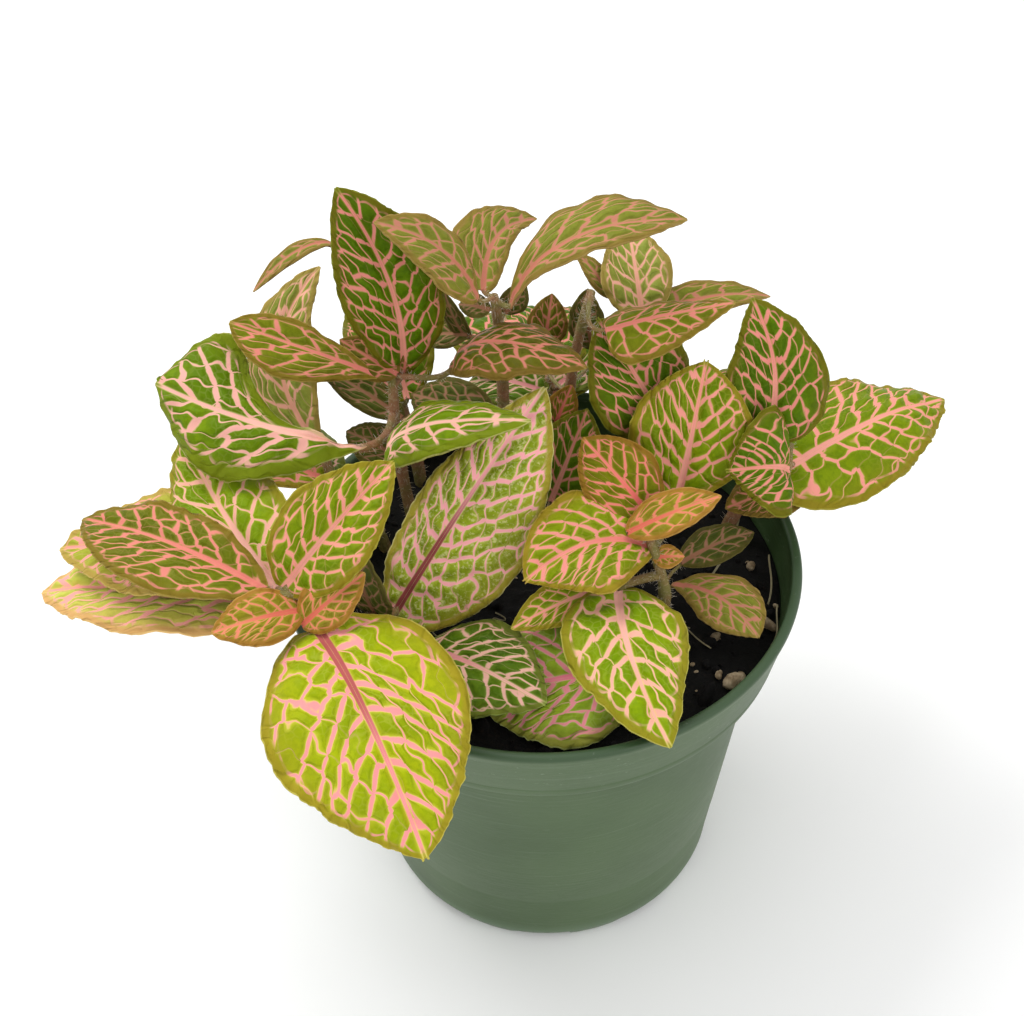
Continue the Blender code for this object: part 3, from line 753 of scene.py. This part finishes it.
look("blush", (208, 210, 96), (188, 192, 72), (214, 160, 104), (255, 160, 154), (255, 166, 164),
     (236, 202, 130), (226, 216, 124), bold=1.25, glow=0.3)
look("butter", (176, 182, 62), (156, 164, 46), (180, 148, 74), (248, 158, 150), (250, 160, 156),
     (220, 196, 116), (204, 198, 96), bold=1.2, glow=0.3)
look("dusty", (128, 134, 46), (108, 114, 34), (134, 110, 50), (190, 118, 98), (194, 124, 106),
     (172, 144, 86), (150, 146, 66))
look("faded", (136, 146, 60), (116, 126, 44), (150, 128, 62), (224, 160, 138), (230, 164, 146),
     (194, 168, 104), (166, 162, 80))
look("dull", (82, 92, 30), (62, 72, 22), (86, 78, 34), (150, 104, 80), (158, 112, 90), (120, 112, 62),
     (106, 106, 46), net=0.45)


def hairy_stem():
    """Green stem skin, flushed brown in patches, with a bloom of down."""
    material, here = new_finish("hairy_stem")
    flush = between(cloud(here, 160.0, 3.0), 0.35, 0.65)
    fuzz = cloud(here, 1900.0, 3.0, 0.7)
    tone = blend(flush, colour(120, 112, 54), colour(150, 104, 72))
    tone = blend(between(fuzz, 0.5, 0.7, 0.0, 0.4), tone, colour(190, 176, 138))
    return finished(material, tone, 0.75, fuzz, 0.0003)


def pale_hair():
    """Dry, nearly white hairs."""
    material, here = new_finish("pale_hair")
    return finished(material, blend(cloud(here, 500.0), colour(196, 182, 156), colour(232, 222, 204)), 0.65)


stem_skin = hairy_stem()
hair_skin = pale_hair()


def bezier(points, t):
    """The point of a Bezier curve through its first and last control points."""
    points = [np.array(p, float) for p in points]
    while len(points) > 1:
        points = [a * (1.0 - t) + b * t for a, b in zip(points, points[1:])]
    return points[0]


def stalk_run(row, curve):
    """A leaf's stalk from inside the stem to its blade, and on as the ridge under the midrib."""
    base, forward, normal, _ = midrib(row, 0.01)
    base = base - normal * (LEAF_THICK * 0.7)
    tries = [bezier(curve, k / 40) for k in range(41)]
    root = min(tries, key=lambda p: np.linalg.norm(p - base + forward * 2.0))
    bend = base - forward * np.linalg.norm(base - root) * 0.5
    thick = min(max(row["width"] * 0.04, 0.42), 1.0)
    run = [(*bezier([root, bend, base], k / 4), thick * (1.0 - 0.05 * k)) for k in range(4)]
    for s, keep in ((0.02, 0.8), (0.12, 0.66), (0.3, 0.5), (0.5, 0.36), (0.72, 0.22)):
        point, _, normal, _ = midrib(row, s)
        sunk = VEIN_DEPTH * relief_of(row)
        point = point - normal * (sunk + 0.2 + thick * keep)
        run.append((*point, thick * keep))
    return run


def hairs(name, runs, node, each_mm, long):
    """Short three-sided hairs that stand out from stems and stalks."""
    shape = bmesh.new()
    for run in runs:
        run = [np.array(p) for p in run]
        for a, b in zip(run, run[1:]):
            length = np.linalg.norm(b[:3] - a[:3])
            for _ in range(int(rng.poisson(length * each_mm))):
                mix = rng.uniform()
                here = a[:3] * (1 - mix) + b[:3] * mix
                radius = a[3] * (1 - mix) + b[3] * mix
                ahead = unit(b[:3] - a[:3])
                out = rng.normal(size=3)
                out = unit(out - ahead * (out @ ahead))
                lean = unit(out + ahead * rng.normal() * 0.4)
                size = long * rng.uniform(0.5, 1.0)
                middle = here + out * radius * 0.9 + lean * size * 0.5
                turn = Vector(lean).to_track_quat("Z", "Y").to_matrix().to_4x4()
                spot = Matrix.Translation(Vector(middle) * MM) @ turn
                bmesh.ops.create_cone(shape, cap_ends=True, cap_tris=True, segments=3,
                                      radius1=HAIR_RADIUS * MM, radius2=HAIR_END_RADIUS * MM,
                                      depth=size * MM, matrix=spot)
    piece = piece_from(name, shape)
    piece.data.materials.append(hair_skin)
    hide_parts(node)
    return piece


def grow(part, foot, course, leaves):
    """A leafy stem: its stem and stalks, their hairs, and its leaves one by one."""
    node = "shoot_" + part
    curve = [(*foot, STEM_START)] + course
    path = [(*foot, STEM_BOTTOM, 1.4)]
    for k in range(9):
        point = bezier(curve, k / 8)
        swell = 1.0 + (0.25 if k % 3 == 1 else 0.0)
        path.append((*point, STEM_RADIUS * swell * (1.0 - 0.045 * k)))
    runs = [path] + [stalk_run(row, curve) for row in leaves if row["width"] > 3.5]
    stems = strand("stems_" + part, runs, 1.0, 3)
    stems.data.materials.append(stem_skin)
    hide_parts(node)
    seen = [[p for p in path if p[2] > SOIL_LEVEL]] + [run[:5] for run in runs[1:]]
    hairs("hairs_" + part, seen, node, 5.0, 1.3)
    for k, row in enumerate(leaves):
        blade("leaf_%s_%02d" % (part, k + 1), node, row, len(part) * 1.7 + k * 2.3)


# ----------------------------------------------------------
# Front left stem, the tallest in front: it leans out over the rim and carries the largest
# lime leaf, three long leaves to the left, and young reddish ones at its tip.

grow("front_left", (-22, -7), [(-30, -8, 82), (-38, -24, 84), (-46, -29, 106)], [
    leaf("lime", (-42, -34, 101), (-23, -72, 84), (-75, 48), 37, 7,
         peak=0.45, fold=0.05, swerve=-1, veins=10, lobe=6),
    leaf("blush", (-51, -20, 94), (-101, -7, 86), (-95, 88), 28, 4, fold=0.3, cup=0.2),
    leaf("butter", (-53, -13, 103), (-96, -4, 95), (-150, 75), 27, 2.5, peak=0.55, wide=0.38),
    leaf("olive", (-52, -28, 107), (-89, -6, 105), (-105, 80), 19, 4,
         fold=0.35, wide=0.45, skew=-0.2, veins=10),
    leaf("limelit", (-50, -26, 105), (-72, 15, 107), (-100, 60), 23, 0.5, fold=0.2, swerve=-1),
    leaf("spring", (-48, -28, 107), (-27, -16, 126), (-100, 45), 19, 3, fold=0.4, veins=9),
    leaf("young", (-45, -31, 104), (-61, -36, 104), (-90, 60), 11, 2),
    leaf("young", (-45, -33, 102), (-33, -28, 110), (-90, 50), 10, 2, fold=0.3),
    leaf("dull", (-33, -16, 84), (-36, -16, 108), (-120, 30), 11, 2),
    leaf("flecked", (-30, -13, 83), (1, 6, 124), (-100, 42), 25, 4, fold=0.1, skew=0.3, veins=12, lobe=5),
    leaf("deep", (-24, -19, 79), (-1, -42, 88), (-80, 65), 22, 3, fold=0.1),
    leaf("dusty", (-30, -8, 80), (-33, -10, 83), (-90, 60), 3, 0.5),
])


# ----------------------------------------------------------
# Left stem: short and upright inside the rim, with one leaf that stands on edge and two
# plain green ones under the others.

grow("left", (-33, 12), [(-42, 12, 90), (-45, 16, 103)], [
    leaf("faded", (-46, 17, 103), (-43.5, 41, 129), (-120, 30), 16.5, 3, fold=0.3, swerve=-7),
    leaf("fresh", (-45, 14, 95), (-76, 32, 88), (150, 75), 20, 4),
    leaf("deep", (-43, 16, 91), (-70, 48, 78), (130, 75), 20, 4),
])


# ----------------------------------------------------------
# Back left stem: upright, ends in the tallest leaf of the plant and a broad dark leaf that
# arches to the left with the palest veins.

grow("back_left", (-26, 13), [(-30, 16, 95), (-29, 20, 117)], [
    leaf("green", (-27, 21, 116), (-36, 21, 160), (-80, 20), 20.5, 3, swerve=3.5, wide=0.5, veins=10),
    leaf("olive", (-30, 19, 117), (-59, 18, 133), (-95, 65), 13, 2.5,
         fold=0.3, swerve=-1, wide=0.66, skew=-0.22),
    leaf("brown", (-28, 19, 118), (-39, 23, 124), (-90, 40), 8.5, 1),
    leaf("brown", (-27, 21, 116), (-26, 21, 122), (-60, 40), 4, 0.5),
    leaf("dull", (-28, 22, 104), (-45, 32, 110), (-90, 60), 8, 2),
    leaf("dull", (-29, 18, 96), (-40, 23, 100), (-90, 60), 10, 2),
    leaf("contrast", (-35, 6, 111), (-75, 15, 121), (-90, 65), 27, 6,
         fold=-0.1, cup=0.3, twist=-60, swerve=-4, wide=0.6, skew=0.12, lean=0.22, veins=7),
    leaf("contrast", (-30, 7, 103), (-2, -6, 126), (-100, 75), 14, 9, peak=0.38, fold=0, cup=0.3),
    leaf("brown", (-17, 18, 120), (9, 4, 130), (-90, 84), 17, 7, peak=0.4, fold=0, cup=0.3),
])


# ----------------------------------------------------------
# Back stem: leans back and up between the others, with dull, paler leaves.

grow("top", (-8, 12), [(-6, 36, 108), (-8, 19, 136)], [
    leaf("dusty", (-11, 16, 138), (-29, 14, 157), (-60, 60), 12, 3,
         fold=0.3, swerve=2, skew=-0.2, lean=0.12),
    leaf("dusty", (-10, 20, 137), (1, 39, 140), (-90, 40), 12, 2, swerve=-4, wide=0.3, skew=-0.36),
    leaf("dusty", (-5, 18, 134), (29, 25, 148), (-100, 84), 15, 9, peak=0.42, wide=0.58, skew=-0.2),
    leaf("dull", (-9, 19, 133), (-15, 21, 133), (-90, 50), 5, 1),
    leaf("dull", (-9, 25, 98), (-27, 38, 97), (-100, 60), 13, 3),
    leaf("dull", (-14, 31, 118), (-24, 36, 114), (-90, 60), 7, 1),
    leaf("dull", (-14, 32, 116), (-18, 32, 128), (-120, 20), 5, 1),
    leaf("dull", (-6, 27, 126), (-2, 28, 133), (-70, 30), 6, 1),
])


# ----------------------------------------------------------
# Front right stem: low, with a dark leaf that has magenta veins at the front rim and a
# bright two-coloured leaf that hangs over the rim.

grow("front_right", (22, -12), [(26, -18, 86), (20, -12, 101)], [
    leaf("magenta", (16, -29, 82), (-15, -33, 80), (-90, 70), 29, 2),
    leaf("fresh", (21, -12, 98), (-4, -22, 100), (-95, 60), 21, 4, swerve=3, wide=0.5),
    leaf("young", (21, -14, 97), (27, -14, 97), (-90, 60), 5, 0.5),
    leaf("rust", (22, -9, 101), (8, 0, 116), (-80, 45), 16, 2, fold=0.15, wide=0.5),
    leaf("young", (16, -13, 103), (34, -9, 108), (-100, 60), 9, 2, fold=0.4),
    leaf("spring", (27, 1, 98), (32.5, 12, 124), (-90, 40), 25, 2, wide=0.5),
    leaf("limelit", (14, -18, 92), (21, -53, 88), (-80, 60), 24, 4,
         fold=0.15, swerve=2.5, wide=0.36, veins=7, lobe=3),
    leaf("dusty", (26, -8, 83), (41, -24, 84), (-90, 75), 13, 2, swerve=-2, wide=0.58),
    leaf("dull", (28, -4, 85), (44, 5, 84), (-90, 75), 9, 2),
    leaf("spring", (11, -16, 91), (-7, -25, 90), (-90, 70), 10, 2),
])


# ----------------------------------------------------------
# Middle stem: half hidden, with small reddish young leaves and an olive leaf on top.

grow("middle", (6, 14), [(4, 26, 105), (11, 25, 132)], [
    leaf("green", (2, 6, 94), (10, 18, 108), (-90, 45), 15, 2),
    leaf("rust", (3, 17, 104), (7, 21, 112), (-90, 40), 7, 1),
    leaf("brown", (2, 39, 108), (4, 44, 118), (-90, 30), 9, 1),
    leaf("dull", (12, 35, 110), (11, 37, 124), (-120, 30), 9, 1, fold=0.4),
    leaf("olive", (13, 13, 132), (38, 16, 135), (-95, 72), 13, 1, fold=-0.5, cup=0.1, wide=0.22, skew=0.1),
])


# ----------------------------------------------------------
# Right stem: carries the long leaf that reaches farthest right and a round one above it.

grow("right", (39, 12), [(45, 14, 90), (50, 8, 105)], [
    leaf("green", (45, 8, 107), (42, 21, 132), (-80, 35), 22.5, 3, swerve=2.2, wide=0.33),
    leaf("spring", (51, 9, 99), (89, 36, 92), (-85, 72), 30, 5,
         fold=-0.25, cup=0.1, wide=0.31, skew=-0.1, lobe=7),
    leaf("green", (49, 2, 104), (36, -2, 108), (-80, 50), 22, 5, skew=0.1),
    leaf("brown", (53, 9, 92), (37, 2, 94), (-90, 70), 12, 2),
])


# ----------------------------------------------------------
# Back right stem: upright, with a green leaf, a pale one that light shines through, and
# a narrow one.

grow("top_right", (26, 16), [(27, 18, 100), (23, 32, 120)], [
    leaf("green", (25, 11, 108), (12, 20, 129), (-80, 45), 22, 3),
    leaf("faded", (22, 32, 120), (20, 49, 131), (-90, 35), 15, 2),
    leaf("dusty", (16, 38, 121), (9, 43, 129), (-60, 45), 5, 1),
    leaf("dusty", (25, 34, 120), (50, 43, 116), (-90, 70), 9, 3, wide=0.26),
])


# ----------------------------------------------------------
# Far left stem: slender, behind the left stem, with two leaves.

grow("far_left", (-26, 32), [(-30, 42, 100), (-38, 50, 124)], [
    leaf("dusty", (-42, 56, 124), (-59.5, 49, 117.5), (-90, 80), 5, 4, peak=0.38),
    leaf("green", (-28, 38, 96), (-38, 72, 98), (100, 80), 20, 5),
])


# ----------------------------------------------------------
# Rear stem: short, spreads five plain leaves over the back rim.

grow("rear", (2, 36), [(2, 38, 88), (3, 39, 100)], [
    leaf("green", (3, 40, 98), (2, 74, 92), (90, 80), 22, 5),
    leaf("deep", (5, 38, 98), (34, 62, 90), (60, 80), 22, 5),
    leaf("green", (1, 38, 96), (-20, 70, 92), (120, 80), 18, 5),
    leaf("deep", (2, 36, 98), (-15, 46, 93), (-100, 70), 14, 3),
    leaf("green", (3, 42, 90), (14, 72, 74), (80, 60), 20, 5),
])


# ----------------------------------------------------------
# Rear right stem: short, with three leaves over the back right rim.

grow("rear_right", (29, 29), [(32, 32, 86), (36, 35, 92)], [
    leaf("green", (38, 36, 90), (66, 54, 80), (50, 75), 22, 4),
    leaf("green", (37, 34, 91), (66, 24, 90), (-10, 80), 18, 4),
    leaf("deep", (36, 38, 86), (50, 66, 72), (70, 70), 20, 4),
])


# ----------------------------------------------------------
# The table it stands on, the light and the camera: a pale matt sweep, a large soft window high on
# the left behind the plant, a weaker one from the front right, and the lens of a close portrait.

floor_shape = bmesh.new()
bmesh.ops.create_grid(floor_shape, x_segments=1, y_segments=1, size=3.0)
floor = placed("studio_floor", mesh_of("studio_floor", floor_shape))
floor.location.z = -0.0002
table, _ = new_finish("pale_table")
floor.data.materials.append(finished(table, (0.93, 0.93, 0.93, 1.0), 0.9))

world = bpy.data.worlds.new("pale_room")
world.use_nodes = True
sky = world.node_tree.nodes["Background"]
sky.inputs["Color"].default_value = (1.0, 1.0, 1.0, 1.0)
sky.inputs["Strength"].default_value = 1.0
bpy.context.scene.world = world
bpy.context.scene.view_settings.view_transform = "Standard"


def window(name, place, aim, size, power):
    """A square soft light, its side in metres and its power in watts."""
    lamp = bpy.data.lights.new(name, "AREA")
    lamp.shape = "SQUARE"
    lamp.size = size
    lamp.energy = power
    holder = placed(name, lamp)
    holder.location = place
    holder.rotation_euler = (Vector(aim) - Vector(place)).to_track_quat("-Z", "Y").to_euler()


window("window_high_left", (-0.45, 0.35, 0.85), (0, 0, 0.1), 0.5, 4.4)
window("window_front_right", (0.6, -0.7, 0.7), (0, 0, 0.08), 0.7, 1.6)

CAMERA_PLACE = (-0.006, -0.230, 0.3183)
CAMERA_PITCH = 43.75
CAMERA_ROLL = -2.0
pitch = math.radians(CAMERA_PITCH)
roll = math.radians(CAMERA_ROLL)
upright = Vector((0.0, math.sin(pitch), math.cos(pitch)))
level = Vector((1.0, 0.0, 0.0))
right = level * math.cos(roll) + upright * math.sin(roll)
up = upright * math.cos(roll) - level * math.sin(roll)
lens = bpy.data.cameras.new("portrait_lens")
lens.sensor_width = 36.0
lens.lens = 56.25
camera = placed("portrait_camera", lens)
turned = Matrix((right, up, right.cross(up))).transposed().to_4x4()
camera.matrix_world = Matrix.Translation(CAMERA_PLACE) @ turned
bpy.context.scene.camera = camera
